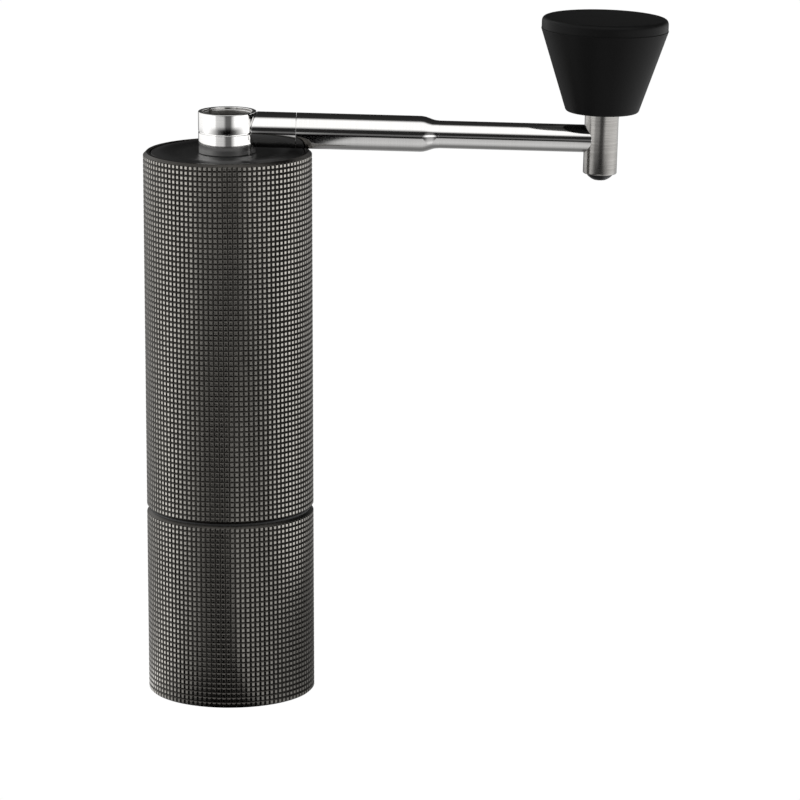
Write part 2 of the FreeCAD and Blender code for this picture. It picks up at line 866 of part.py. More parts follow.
def make_grounds_cup():
    """Metal cup that screws on the collar and catches the grounds."""
    chamfered_radius = outer_radius - end_chamfer
    fillet_middle = cup_inner_fillet * (1 - sin(radians(45)))
    return turned(
        [
            (0, 0),
            (outer_radius - base_chamfer, 0),
            (outer_radius, base_chamfer),
            (outer_radius, cup_height - end_chamfer),
            (chamfered_radius, cup_height),
            (cup_bore_radius, cup_height),
            (cup_bore_radius, cup_floor + cup_inner_fillet),
            (
                cup_bore_radius - cup_inner_fillet,
                cup_floor,
                cup_bore_radius - fillet_middle,
                cup_floor + fillet_middle,
            ),
            (0, cup_floor),
        ]
    )


# ---------------------------------------------------------------- all pieces


def main():
    os.makedirs("parts", exist_ok=True)
    save("barrel_shell", make_barrel_shell())
    save("hopper_liner", make_hopper_liner())
    save("upper_spider", make_upper_spider())
    save("burr_carrier", make_burr_carrier())
    save("outer_burr", make_outer_burr())
    save("burr_screws", make_burr_screws())
    save("upper_bearing_outer", make_bearing_outer(upper_bearing_bottom))
    save("upper_bearing_inner", make_bearing_inner(upper_bearing_bottom))
    save("upper_bearing_cage", make_bearing_cage(upper_bearing_bottom))
    save("upper_bearing_balls", make_bearing_balls(upper_bearing_bottom))
    save("lower_bearing_outer", make_bearing_outer(lower_bearing_bottom))
    save("lower_bearing_inner", make_bearing_inner(lower_bearing_bottom))
    save("lower_bearing_cage", make_bearing_cage(lower_bearing_bottom))
    save("lower_bearing_balls", make_bearing_balls(lower_bearing_bottom))
    save("drive_shaft", make_drive_shaft())
    save("shaft_circlips", make_shaft_circlips())
    save("spring_washer", make_spring_washer())
    save("burr_spring", make_burr_spring())
    save("inner_burr", make_inner_burr())
    save("detent_plate", make_detent_plate())
    save("adjusting_dial", make_adjusting_dial())
    save("detent_balls", make_detent_balls())
    save("detent_springs", make_detent_springs())
    save("lid", make_lid())
    save("lid_seal", make_lid_seal())
    save("crank_hub", make_crank_hub())
    save("hub_washer", make_hub_washer())
    save("hub_circlip", make_hub_circlip())
    save("arm_collar", make_arm_collar())
    save("arm_sleeve", make_arm_sleeve())
    save("arm_rod", make_arm_rod())
    save("knob_post", make_knob_post())
    save("knob_bolt", make_knob_bolt())
    save("knob_washer", make_knob_washer())
    save("knob_nut", make_knob_nut())
    save("knob_body", make_knob_body())
    save("knob_bush", make_knob_bush())
    save("knob_cap", make_knob_cap())
    save("cup_seal", make_cup_seal())
    save("grounds_cup", make_grounds_cup())


main()
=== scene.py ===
import json
from math import atan2, pi, radians

import bpy
import numpy as np
from bpy.props import FloatProperty, FloatVectorProperty, IntProperty, PointerProperty
from bpy.types import Operator, Panel, PropertyGroup
from mathutils import Matrix, Vector


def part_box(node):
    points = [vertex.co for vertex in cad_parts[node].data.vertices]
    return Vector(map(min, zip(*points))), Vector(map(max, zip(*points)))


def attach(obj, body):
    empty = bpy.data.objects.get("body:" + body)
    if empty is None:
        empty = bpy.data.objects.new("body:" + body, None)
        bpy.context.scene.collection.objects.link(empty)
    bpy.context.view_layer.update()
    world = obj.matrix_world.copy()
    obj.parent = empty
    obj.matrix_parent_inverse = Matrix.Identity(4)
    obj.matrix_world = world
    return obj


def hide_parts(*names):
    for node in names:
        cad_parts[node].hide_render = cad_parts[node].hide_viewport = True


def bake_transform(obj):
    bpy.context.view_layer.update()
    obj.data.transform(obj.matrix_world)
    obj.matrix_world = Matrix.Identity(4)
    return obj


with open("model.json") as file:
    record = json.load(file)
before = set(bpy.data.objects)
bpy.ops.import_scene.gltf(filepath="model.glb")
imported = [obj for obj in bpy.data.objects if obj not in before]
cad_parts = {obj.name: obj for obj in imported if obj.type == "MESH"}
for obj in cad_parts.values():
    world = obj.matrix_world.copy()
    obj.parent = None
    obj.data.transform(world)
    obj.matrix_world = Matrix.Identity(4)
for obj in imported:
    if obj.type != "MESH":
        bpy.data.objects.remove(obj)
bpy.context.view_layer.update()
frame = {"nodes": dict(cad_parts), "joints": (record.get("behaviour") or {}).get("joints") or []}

bl_info = {
    "name": "Hand Crank Coffee Grinder",
    "version": (1, 0, 0),
    "blender": (4, 5, 0),
    "location": "View3D > Sidebar > Grinder",
    "description": "Makes a hand crank coffee grinder with a grid-cut metal barrel",
    "category": "Object",
}

# Outlines are in millimetres. A mesh is scaled to metres when it is made.
MM = 0.001
TURN = 2 * pi

# Length of the hub's neck, which goes down through the lid.
NECK_LENGTH = 9.4

# Play between two pieces that fit in each other.
FIT = 0.03


# ---------------------------------------------------------------- places given by the frame


def lowest(node):
    """Lowest level of a node, in millimetres."""
    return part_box(node)[0].z / MM


def highest(node):
    """Highest level of a node, in millimetres."""
    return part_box(node)[1].z / MM


def farthest(node):
    """Outer radius of a node that stands on the Z axis, in millimetres."""
    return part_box(node)[1].y / MM


def joint_named(name):
    """Entry of a joint in the record."""
    return next(joint for joint in frame["joints"] if joint["name"] == name)


# The knob's axis leans out by the arm's slope, and the arm runs square to it from the hub's axis.
knob_joint = joint_named("knob_spin")
KNOB_AXIS = np.array(knob_joint["axis"])
ARM_AXIS = np.array([KNOB_AXIS[2], 0, -KNOB_AXIS[0]])
KNOB_ORIGIN = np.array(knob_joint["pos_m"]) / MM
CRANK_REACH = KNOB_ORIGIN[0] / ARM_AXIS[0]
ARM_ORIGIN = KNOB_ORIGIN - CRANK_REACH * ARM_AXIS
ARM_SIDE = np.array([0, 1, 0])


# ---------------------------------------------------------------- colours


def linear(hex_colour):
    """Linear colour of an sRGB hex value: above the toe, ((c + 0.055) / 1.055) ^ 2.4."""
    parts = np.array([int(hex_colour[place : place + 2], 16) for place in (1, 3, 5)]) / 255
    colour = np.where(parts <= 0.04045, parts / 12.92, ((parts + 0.055) / 1.055) ** 2.4)
    return (*colour.tolist(), 1.0)


# ---------------------------------------------------------------- sizes and colours a user would change


def size_of(name, description, default):
    """Length property in metres whose default is given in millimetres."""
    return FloatProperty(
        name=name, description=description, default=default * MM, min=0.0, precision=5, unit="LENGTH"
    )


def colour_of(name, description, default):
    """Colour property whose default is an sRGB hex value."""
    return FloatVectorProperty(
        name=name, description=description, default=linear(default)[:3], subtype="COLOR", min=0, max=1
    )


class GRINDER_PG_body(PropertyGroup):
    columns: IntProperty(
        name="Grid columns", description="Pads round the barrel", default=106, min=12, max=160
    )
    pitch: size_of("Grid pitch", "Height from one row of pads to the next", 1.578)
    groove_width: size_of("Groove width", "Width of a groove between two pads", 0.78)
    groove_depth: size_of("Groove depth", "Depth of a groove below the pads", 0.32)
    wall: size_of("Wall", "Thickness of the barrel and of the cup", 2.0)
    rim_bevel: size_of("Rim bevel", "Width of the plain bevel at each rim", 1.0)
    pad_colour: colour_of("Pad colour", "Anodised metal on the pads", "#a5a29c")
    # Painted shade: the grooves' colour is darker than the pads' and stands for the shade in them.
    groove_shade_colour: colour_of("Groove colour", "Anodised metal with painted shade in the grooves", "#474542")


class GRINDER_PG_lid(PropertyGroup):
    crown_radius: size_of("Crown radius", "Radius of the lid's highest ring", 20.0)
    dish_radius: size_of("Dish radius", "Radius of the flat middle of the lid", 16.0)
    colour: colour_of("Lid colour", "Moulded plastic of the lid", "#171717")


class GRINDER_PG_crank(PropertyGroup):
    arm_radius: size_of("Arm radius", "Radius of the thick part of the arm", 5.525)
    rod_radius: size_of("Rod radius", "Radius of the thin part of the arm", 4.25)
    post_radius: size_of("Post radius", "Radius of the post at the end of the arm", 5.2)
    recess_depth: size_of("Recess depth", "Depth of the shallow cup on top of the hub", 1.0)
    steel_colour: colour_of("Steel colour", "Polished steel of the hub and the arm", "#e8e7e6")


class GRINDER_PG_knob(PropertyGroup):
    bottom_radius: size_of("Bottom radius", "Radius at the foot of the cone", 11.15)
    top_radius: size_of("Top radius", "Radius at the top of the cone", 19.55)
    edge_round: size_of("Edge round", "Radius of the cap's rounded edge", 1.6)
    colour: colour_of("Knob colour", "Moulded plastic of the knob", "#161616")


class GRINDER_PG_works(PropertyGroup):
    coarse_teeth: IntProperty(
        name="Coarse teeth", description="Breaking teeth at the top of the burr", default=7, min=3, max=24
    )
    fine_teeth: IntProperty(
        name="Fine teeth", description="Grinding teeth at the foot of the burr", default=42, min=12, max=72
    )
    tooth_depth: size_of("Tooth depth", "Depth of the coarse teeth", 1.7)
    spring_turns: FloatProperty(
        name="Spring turns", description="Turns of the burr's spring", default=5.0, min=1, max=12
    )
    thread_pitch: size_of("Thread pitch", "Rise of the cup's thread in one turn", 2.0)


# ---------------------------------------------------------------- surfaces


def sewn(points, ends, turned_cells=None):
    """Triangles over a grid of points whose columns close round.

    Cell (i, j) joins point (i, j) to (i + 1, j + 1) by its diagonal, or (i, j + 1) to (i + 1, j)
    where turned_cells is true. ends is "joined" where the last row meets the first, or
    "pointed" where the first row and the last row are each one point. The points that no
    triangle uses are left out, and the third result says which ones stay.
    """
    rows, columns = points.shape[:2]
    index = np.arange(rows * columns).reshape(rows, columns)
    if ends == "pointed":
        index[0] = index[0, 0]
        index[-1] = index[-1, 0]
        here = index[:-1]
        above = index[1:]
    else:
        here = index
        above = np.roll(index, -1, axis=0)
    beside = np.roll(here, -1, axis=1)
    across = np.roll(above, -1, axis=1)
    if turned_cells is None:
        turned_cells = np.zeros(here.shape, bool)
    first = np.stack([here, beside, np.where(turned_cells, above, across)], -1)
    second = np.stack([np.where(turned_cells, beside, here), across, above], -1)
    triangles = np.concatenate([first.reshape(-1, 3), second.reshape(-1, 3)])
    whole = (
        (triangles[:, 0] != triangles[:, 1])
        & (triangles[:, 1] != triangles[:, 2])
        & (triangles[:, 2] != triangles[:, 0])
    )
    used, triangles = np.unique(triangles[whole], return_inverse=True)
    return points.reshape(-1, 3)[used], triangles.reshape(-1, 3), used


def softened(corners, steps=5):
    """Outline with rounded corners. A corner C is (radius, level, round).

    Between the points A and B that lie one round before and after the corner, the outline
    follows (1 - t)^2 A + 2 t (1 - t) C + t^2 B.
    """
    corners = np.array(corners, float)
    corner = corners[:, None, :2]
    size = corners[:, None, 2:]
    before = np.roll(corner, 1, axis=0) - corner
    after = np.roll(corner, -1, axis=0) - corner
    start = corner + before / np.linalg.norm(before, axis=2, keepdims=True) * size
    end = corner + after / np.linalg.norm(after, axis=2, keepdims=True) * size
    share = np.linspace(0, 1, steps + 1)[:, None]
    curve = (1 - share) ** 2 * start + 2 * share * (1 - share) * corner + share**2 * end
    outline = curve.reshape(-1, 2)
    gap = np.linalg.norm(outline - np.roll(outline, 1, axis=0), axis=1)
    return outline[gap > 1e-5]


def hexagon(angle):
    """How far a hexagon with a corner at angle zero stands out, as a multiple of its half width."""
    return 1 / np.cos(np.mod(angle, TURN / 6) - TURN / 12)


def turned(outline, segments, cut=0.0, six_sided=None):
    """Surface of an outline carried round the Z axis.

    Point (i, j) is at radius r_i - cut_ij, angle 2 pi j / segments and level z_i. The outline
    runs with the solid on its left. Points at the radius six_sided stand on a hexagon of that
    half width.
    """
    angle = TURN * np.arange(segments) / segments
    radius = outline[:, :1] - cut + 0 * angle
    if six_sided is not None:
        flat = np.isclose(outline[:, 0], six_sided, atol=1e-4)
        radius = np.where(flat[:, None], radius * hexagon(angle), radius)
    level = outline[:, 1:] + 0 * angle
    points = np.stack([radius * np.cos(angle), radius * np.sin(angle), level], -1)
    ends = "pointed" if outline[0, 0] == 0 else "joined"
    points, triangles, _ = sewn(points, ends)
    return points, triangles


def swept_helix(radius, bottom, top, turns, thickness, height, steps):
    """Round or oval wire carried along a helix about the Z axis, closed to a point at each end.

    The centre line is at angle 2 pi n t and level bottom + t (top - bottom). The section has the
    half sizes thickness, away from the axis, and height, along it, and both shrink to nothing
    over the first and last few steps.
    """
    share = np.linspace(0, 1, steps)[:, None]
    around = TURN * np.arange(12) / 12
    swell = np.minimum(1, np.minimum(share, 1 - share) * steps / 4) ** 0.5
    angle = TURN * turns * share
    out = radius + thickness * swell * np.cos(around)
    level = bottom + share * (top - bottom) + height * swell * np.sin(around)
    points = np.stack([out * np.cos(angle), out * np.sin(angle), level], -1)
    points, triangles, _ = sewn(points[:, ::-1], "pointed")
    return points, triangles


def along_arm(points):
    """Points made upright, laid along the arm from the hub's axis."""
    return ARM_ORIGIN + points[:, 2:] * ARM_AXIS + points[:, :1] * ARM_SIDE + points[:, 1:2] * KNOB_AXIS


def on_knob_axis(points):
    """Points made upright, moved to the knob's axis at the end of the arm."""
    return KNOB_ORIGIN + points[:, :1] * ARM_AXIS + points[:, 1:2] * ARM_SIDE + points[:, 2:] * KNOB_AXIS


def grid_cut_wall(sizes, bottom, bottom_bevel, top, before, after):
    """Turned wall whose outside is cut into square pads by crossing V grooves.

    The outside radius is R - depth x max(a, b), where a is 1 on the middle of an upright
    groove, b is 1 on the middle of a level groove, and both fall to 0 at a pad's edge. A row or
    column of the grid has three points: groove middle, pad start, pad end. before and after are
    the parts of the outline below and above the grid. The third result is how much painted shade
    each point gets: none on a pad, all in a groove and some on the plain surfaces.
    """
    radius = farthest("barrel_shell")
    depth = sizes.groove_depth / MM
    groove = sizes.groove_width / MM
    bevel = sizes.rim_bevel / MM
    start = bottom + bottom_bevel
    end = top - bevel
    count = round((end - start + groove) / (sizes.pitch / MM))
    pitch = (end - start + groove) / count

    column_angle = TURN / sizes.columns
    half_groove = groove / radius / 2
    column = np.array([0, half_groove, column_angle - half_groove])
    angle = (np.arange(sizes.columns)[:, None] * column_angle + column).ravel()
    column_cut = np.tile([1.0, 0.0, 0.0], sizes.columns)

    row = start + np.arange(count)[:, None] * pitch + np.array([0, pitch - groove, pitch - groove / 2])
    row = row.ravel()[:-1]
    row_cut = np.tile([0.0, 0.0, 1.0], count)[:-1]

    lower_edge = [[radius - depth, start - depth]]
    upper_edge = [[radius - depth, end + depth]]
    wall = np.stack([np.full(len(row), radius), row], -1)
    outline = np.concatenate([before, lower_edge, wall, upper_edge, after])
    first = len(before) + 1
    is_grid = np.zeros(len(outline), bool)
    is_grid[first : first + len(row)] = True
    level_cut = np.zeros(len(outline))
    level_cut[is_grid] = row_cut

    # Painted shade: the plain bevels and the bore take part of the grooves' darker colour.
    plain_painted_shade = 0.55
    cut = np.where(is_grid[:, None], np.maximum(level_cut[:, None], column_cut), 0)
    shade = np.where(is_grid[:, None], cut, plain_painted_shade)
    out = outline[:, :1] - depth * cut
    level = outline[:, 1:] + 0 * angle
    points = np.stack([out * np.cos(angle), out * np.sin(angle), level], -1)

    pointed = outline[0, 0] == 0
    rising_column = column_cut == 1
    falling_column = np.roll(column_cut, -1) == 1
    rising_row = level_cut == 1
    falling_row = np.roll(level_cut, -1) == 1
    turned_cells = (rising_column & falling_row[:, None]) | (falling_column & rising_row[:, None])
    if pointed:
        turned_cells = turned_cells[:-1]
    points, triangles, used = sewn(points, "pointed" if pointed else "joined", turned_cells)
    return points, triangles, shade.ravel()[used]


def put_piece(name, surface, material, body, slot, *nodes, place=None, sharp=28, cut=None):
    """Adds a piece from its points in millimetres and its triangles, and joins it to the frame.

    place moves upright points to where the piece belongs. The faces are smooth, apart from
    edges sharper than the given angle in degrees. A piece on no body is left without a parent.
    """
    points, triangles = surface
    if place is not None:
        points = place(points)
    mesh = bpy.data.meshes.new(name)
    mesh.vertices.add(len(points))
    mesh.vertices.foreach_set("co", (points * MM).astype(np.float32).ravel())
    mesh.loops.add(triangles.size)
    mesh.loops.foreach_set("vertex_index", triangles.astype(np.int32).ravel())
    mesh.polygons.add(len(triangles))
    mesh.polygons.foreach_set("loop_start", np.arange(0, triangles.size, 3, dtype=np.int32))
    mesh.update(calc_edges=True)
    mesh.shade_smooth()
    mesh.set_sharp_from_angle(angle=radians(sharp))
    # The cut attribute carries the barrel's painted shade, which the grid material reads as colour.
    if cut is not None:
        attribute = mesh.attributes.new("cut", "FLOAT", "POINT")
        attribute.data.foreach_set("value", cut.astype(np.float32))
    mesh.materials.append(material)
    piece = bpy.data.objects.new(name, mesh)
    bpy.context.scene.collection.objects.link(piece)
    if body is not None:
        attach(piece, body)
    if nodes:
        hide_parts(*nodes)
    return piece


# ---------------------------------------------------------------- materials


def add_node(tree, kind, settings=None, links=None):
    """Adds one shader node, sets its properties and values, and links its inputs to (node, output)."""
    node = tree.nodes.new("ShaderNode" + kind)
    for key, value in (settings or {}).items():
        if isinstance(key, str) and hasattr(node, key):
            setattr(node, key, value)
        else:
            node.inputs[key].default_value = value
    for key, (source, output) in (links or {}).items():
        tree.links.new(source.outputs[output], node.inputs[key])
    return node


def new_material(name):
    """Empty node material, or None where it has been made already."""
    if name in bpy.data.materials:
        return None
    material = bpy.data.materials.new(name)
    material.use_nodes = True
    material.node_tree.nodes.clear()
    return material


def finish(
    name, colours, metallic, roughness, spread, grain, height, axis=None, point=(0, 0, 0), specular=0.5
):
    """Material with a fine pattern in its colour, its roughness and its height.

    It runs between two colours, each an sRGB hex value or linear, and the roughness by spread
    to each side. grain is the pattern's real size and height its depth, in millimetres. With
    an axis the pattern is that of turning or brushing round it: it changes with the distance
    from the axis and along it, but not round it. Without one it is an even grain.
    """
    material = new_material(name)
    if material is None:
        return bpy.data.materials[name]
    tree = material.node_tree
    place = add_node(tree, "TexCoord")
    if axis is None:
        pattern_place = (place, "Object")
    else:
        lean = atan2(-axis[0], axis[2])
        shift = Matrix.Rotation(lean, 3, "Y") @ Vector(point) * -MM
        turning = {"Rotation": (0, lean, 0), "Location": shift}
        upright = add_node(tree, "Mapping", turning, {"Vector": (place, "Object")})
        flatten = {"operation": "MULTIPLY", 1: (1, 1, 0)}
        flat = add_node(tree, "VectorMath", flatten, {0: (upright, "Vector")})
        distance = add_node(tree, "VectorMath", {"operation": "LENGTH"}, {0: (flat, "Vector")})
        parts = add_node(tree, "SeparateXYZ", links={"Vector": (upright, "Vector")})
        sources = {"X": (distance, "Value"), "Z": (parts, "Z")}
        rings = add_node(tree, "CombineXYZ", links=sources)
        pattern_place = (rings, "Vector")
    grains = {"Scale": 1 / (grain * MM), "Detail": 3.0, "Roughness": 0.6}
    fine = add_node(tree, "TexNoise", grains, {"Vector": pattern_place})
    # Handling and moulding leave slow changes of gloss about 12.5 mm across.
    patches = {"Scale": 1 / (12.5 * MM), "Detail": 2.0}
    slow = add_node(tree, "TexNoise", patches, {"Vector": (place, "Object")})
    share = {"data_type": "FLOAT", "Factor": 0.35}
    both = add_node(tree, "Mix", share, {"A": (fine, "Fac"), "B": (slow, "Fac")})
    # Noise seldom leaves this range.
    low, high = 0.3, 0.7
    tint = add_node(tree, "ValToRGB", links={"Fac": (both, "Result")})
    for stop, position, colour in zip(tint.color_ramp.elements, (low, high), colours):
        stop.position = position
        stop.color = linear(colour) if isinstance(colour, str) else (*colour, 1)
    span = {"From Min": low, "From Max": high, "To Min": roughness - spread, "To Max": roughness + spread}
    gloss = add_node(tree, "MapRange", span, {"Value": (both, "Result")})
    relief = {"Strength": 1.0, "Distance": height * MM}
    bump = add_node(tree, "Bump", relief, {"Height": (fine, "Fac")})
    constants = {"Metallic": metallic, "Specular IOR Level": specular}
    sources = {"Base Color": (tint, "Color"), "Roughness": (gloss, "Result"), "Normal": (bump, "Normal")}
    shader = add_node(tree, "BsdfPrincipled", constants, sources)
    add_node(tree, "OutputMaterial", links={"Surface": (shader, "BSDF")})
    return material


def anodised_grid_metal(sizes):
    """Dark grey anodised aluminium, milled into a grid and then bead blasted.

    The pads are satin and lighter, and the grooves are rougher and carry painted shade, a
    darker colour that stands for the shade in them, so that the grid reads as crisp squares.
    """
    material = new_material("anodised_aluminium_grid_painted_shade")
    if material is None:
        return bpy.data.materials["anodised_aluminium_grid_painted_shade"]
    tree = material.node_tree
    place = add_node(tree, "TexCoord")
    # The cut attribute is the painted shade: 0 on the pads, 1 in the grooves and part way on the plain
    # bevels and the bore. It also sets the roughness.
    cut = add_node(tree, "Attribute", {"attribute_name": "cut"})
    # Bead blasting leaves dimples about 0.12 mm across and 0.003 mm deep.
    dimples = {"Scale": 1 / (0.12 * MM), "Detail": 2.0}
    blast = add_node(tree, "TexNoise", dimples, {"Vector": (place, "Object")})
    relief = {"Strength": 1.0, "Distance": 0.003 * MM}
    bump = add_node(tree, "Bump", relief, {"Height": (blast, "Fac")})
    # The dye takes a little differently every 2 mm or so.
    clouds = {"Scale": 1 / (2.2 * MM), "Detail": 3.0}
    dye = add_node(tree, "TexNoise", clouds, {"Vector": (place, "Object")})
    depth_of_dye = {"From Min": 0.25, "From Max": 0.75, "To Min": 0.86, "To Max": 1.1}
    shade = add_node(tree, "MapRange", depth_of_dye, {"Value": (dye, "Fac")})
    # Painted shade: the grooves' darker colour starts right at the pad's edge, so that it also darkens the
    # highlights on the groove walls.
    ramp = add_node(tree, "ValToRGB", links={"Fac": (cut, "Fac")})
    pad, groove = ramp.color_ramp.elements
    pad.color = (*sizes.pad_colour, 1)
    groove.color = (*sizes.groove_shade_colour, 1)
    groove.position = 0.06
    tinted = {0: (ramp, "Color"), "Scale": (shade, "Result")}
    colour = add_node(tree, "VectorMath", {"operation": "SCALE"}, tinted)
    satin_to_dull = {"From Min": 0.0, "From Max": 1.0, "To Min": 0.23, "To Max": 0.45}
    gloss = add_node(tree, "MapRange", satin_to_dull, {"Value": (cut, "Fac")})
    spread = {"operation": "MULTIPLY_ADD", 1: 0.08, 2: -0.04}
    speckle = add_node(tree, "Math", spread, {0: (blast, "Fac")})
    both = {0: (gloss, "Result"), 1: (speckle, "Value")}
    rough = add_node(tree, "Math", {"operation": "ADD"}, both)
    sources = {"Base Color": (colour, "Vector"), "Roughness": (rough, "Value"), "Normal": (bump, "Normal")}
    shader = add_node(tree, "BsdfPrincipled", {"Metallic": 1.0}, sources)
    add_node(tree, "OutputMaterial", links={"Surface": (shader, "BSDF")})
    return material


def polished_steel(name, axis, point, scene):
    """Stainless steel, turned and then polished. Hair-thin rings show in its highlights."""
    colours = (scene.grinder_crank.steel_colour, "#dbdad8")
    return finish(name, colours, 1.0, 0.09, 0.03, 0.35, 0.0006, axis, point)


def brushed_steel(name, axis, point):
    """Stainless steel, brushed round its axis. The lines spread the highlight up and down."""
    return finish(name, ("#a8a6a3", "#858380"), 1.0, 0.2, 0.05, 0.22, 0.002, axis, point)


def moulded_black(name, colour, roughness, specular):
    """ABS from a spark-eroded mould: black, satin, with a fine even grain that softens it."""
    paler = tuple(min(1.0, value * 1.25) for value in colour)
    return finish(name, (colour, paler), 0.0, roughness, 0.05, 0.45, 0.012, specular=specular)


def burr_steel():
    """Hardened tool steel, milled and left bare. Fine cutter rings dull it."""
    return finish("milled_tool_steel", ("#b9b8b5", "#8f8e8b"), 1.0, 0.32, 0.08, 0.3, 0.006, (0, 0, 1))


def glass_filled_nylon():
    """Black nylon with short glass fibres: matt, with a faint pale fleck about 0.5 mm long."""
    return finish("glass_filled_nylon", ("#2a2a2b", "#3a3a3b"), 0.0, 0.5, 0.08, 0.5, 0.01)


# ---------------------------------------------------------------- operators


class GRINDER_OT_barrel(Operator):
    """Make the grid-cut barrel and the grounds cup below it"""

    bl_idname = "grinder.make_barrel"
    bl_label = "Barrel and cup"

    def execute(self, context):
        sizes = context.scene.grinder_body
        metal = anodised_grid_metal(sizes)
        radius = farthest("barrel_shell")
        bevel = sizes.rim_bevel / MM
        bore = radius - sizes.wall / MM
        shoulder = radius - bevel

        bottom = lowest("barrel_shell")
        rim = highest("barrel_shell")
        bore_edge = 0.15
        rim_edge = 0.12
        # A point this far up or down the bore closes the outline, and is cut off again.
        away = 9.0
        before = softened(
            [
                (bore, bottom, bore_edge), (shoulder, bottom, rim_edge),
                (radius, bottom + bevel, 0), (bore, bottom + away, 0),
            ]
        )
        before = before[(before[:, 0] < radius - 1e-6) & (before[:, 1] < bottom + bevel)]
        after = softened(
            [
                (bore, rim - away, 0), (radius, rim - bevel, 0), (shoulder, rim, rim_edge),
                (bore, rim, bore_edge),
            ]
        )
        after = after[(after[:, 0] < radius - 1e-6) & (after[:, 1] > rim - bevel)]
        points, triangles, cut = grid_cut_wall(sizes, bottom, bevel, rim, before, after)
        put_piece("barrel", (points, triangles), metal, "barrel", "barrel_metal", "barrel_shell", cut=cut)

        rim = highest("grounds_cup")
        base_bevel = 0.5
        foot = radius - base_bevel
        foot_ring = 19.0
        hollow = 0.5
        before = np.array([[0, hollow], [foot_ring - hollow, hollow], [foot_ring, 0], [foot, 0]])
        floor = 2.5
        fillet = 3.0
        after = softened(
            [
                (0, hollow, 0), (radius, rim - bevel, 0), (shoulder, rim, rim_edge),
                (bore, rim, 0.25), (bore, floor, fillet), (0, floor, 0),
            ],
            8,
        )
        # The first two points only give the bevel its direction.
        after = after[2:]
        points, triangles, cut = grid_cut_wall(sizes, 0, base_bevel, rim, before, after)
        put_piece("cup", (points, triangles), metal, "cup", "barrel_metal", "grounds_cup", cut=cut)
        return {"FINISHED"}


class GRINDER_OT_lid(Operator):
    """Make the crowned and dished lid"""

    bl_idname = "grinder.make_lid"
    bl_label = "Lid"

    def execute(self, context):
        sizes = context.scene.grinder_lid
        bottom = highest("hopper_liner")
        skirt_bottom = bottom - 5.0
        boss_bottom = bottom - 4.2
        radius = farthest("lid")
        dish = lowest("crank_hub") + NECK_LENGTH - 0.05
        plate_bottom = dish - 3.75
        neck_bore = 5.55
        boss = neck_bore + 2.0
        skirt = 21.32
        skirt_bore = skirt - 2.1
        groove_bore = 20.12
        seal_level = (bottom + skirt_bottom) / 2
        half_groove = 0.85
        crown = highest("lid")
        outline = softened(
            [
                (neck_bore, boss_bottom, 0.1), (boss, boss_bottom, 0.3), (boss, plate_bottom, 0.4),
                (skirt_bore, plate_bottom, 0.4), (skirt_bore, skirt_bottom, 0.3),
                (skirt, skirt_bottom, 0.3), (skirt, seal_level - half_groove, 0.05),
                (groove_bore, seal_level - half_groove, 0.05),
                (groove_bore, seal_level + half_groove, 0.05),
                (skirt, seal_level + half_groove, 0.05), (skirt, bottom, 0.1),
                (radius, bottom, 0.2), (radius, bottom + 2.7, 0.5),
                (sizes.crown_radius / MM, crown, 1.8), (sizes.dish_radius / MM, dish, 1.9),
                (neck_bore, dish, 0.1),
            ],
            8,
        )
        plastic = moulded_black("moulded_black_abs_lid", sizes.colour, 0.36, 0.3)
        put_piece("lid_cover", turned(outline, 192), plastic, "lid", "black_plastic", "lid")
        return {"FINISHED"}


